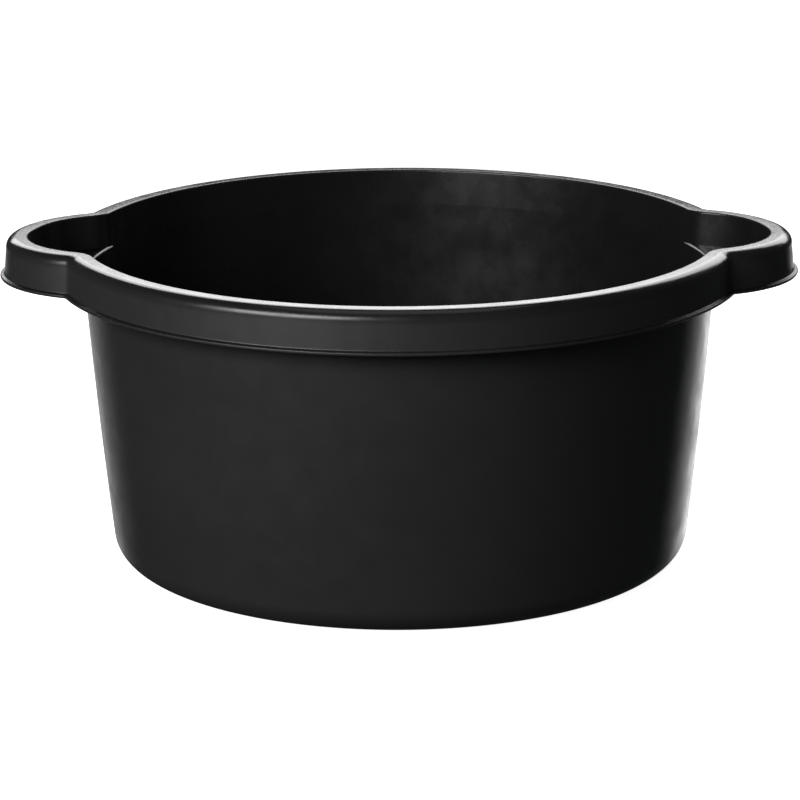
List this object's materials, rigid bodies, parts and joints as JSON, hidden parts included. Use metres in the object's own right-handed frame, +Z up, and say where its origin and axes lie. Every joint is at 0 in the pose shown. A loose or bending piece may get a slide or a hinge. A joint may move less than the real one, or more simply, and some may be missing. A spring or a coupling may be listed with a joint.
{
  "type": "mixing tub",
  "caption": "Round black plastic tub for mixing mortar, with sloping sides, a flat turned-down rim and an ear-shaped carrying handle moulded into each side.",
  "frame": {"origin": "centre of the base, on the plane that the tub stands on", "axes": "+Z up, out of the mouth; X through both handles; Y across them"},
  "size_m": [0.6068, 0.522, 0.248],
  "materials": {
    "tub_plastic": "satin, moulded, fine even texture"
  },
  "bodies": {
    "root": {"floor_panel": "tub_plastic", "foot_ring": "tub_plastic", "gate_mark": "tub_plastic", "front_base_corner": "tub_plastic", "front_wall": "tub_plastic", "front_left_base_corner": "tub_plastic", "front_left_wall": "tub_plastic", "front_right_base_corner": "tub_plastic", "front_right_wall": "tub_plastic", "back_base_corner": "tub_plastic", "back_wall": "tub_plastic", "back_left_base_corner": "tub_plastic", "back_left_wall": "tub_plastic", "back_right_base_corner": "tub_plastic", "back_right_wall": "tub_plastic", "left_base_corner": "tub_plastic", "left_wall": "tub_plastic", "right_base_corner": "tub_plastic", "right_wall": "tub_plastic", "front_upper_wall": "tub_plastic", "front_rim_flange": "tub_plastic", "front_rim_skirt": "tub_plastic", "front_rim_lip": "tub_plastic", "back_upper_wall": "tub_plastic", "back_rim_flange": "tub_plastic", "back_rim_skirt": "tub_plastic", "back_rim_lip": "tub_plastic", "left_handle_wall": "tub_plastic", "left_handle_floor": "tub_plastic", "left_handle_flange": "tub_plastic", "left_handle_skirt": "tub_plastic", "left_handle_lip": "tub_plastic", "right_handle_wall": "tub_plastic", "right_handle_floor": "tub_plastic", "right_handle_flange": "tub_plastic", "right_handle_skirt": "tub_plastic", "right_handle_lip": "tub_plastic"}
  },
  "joints": []
}
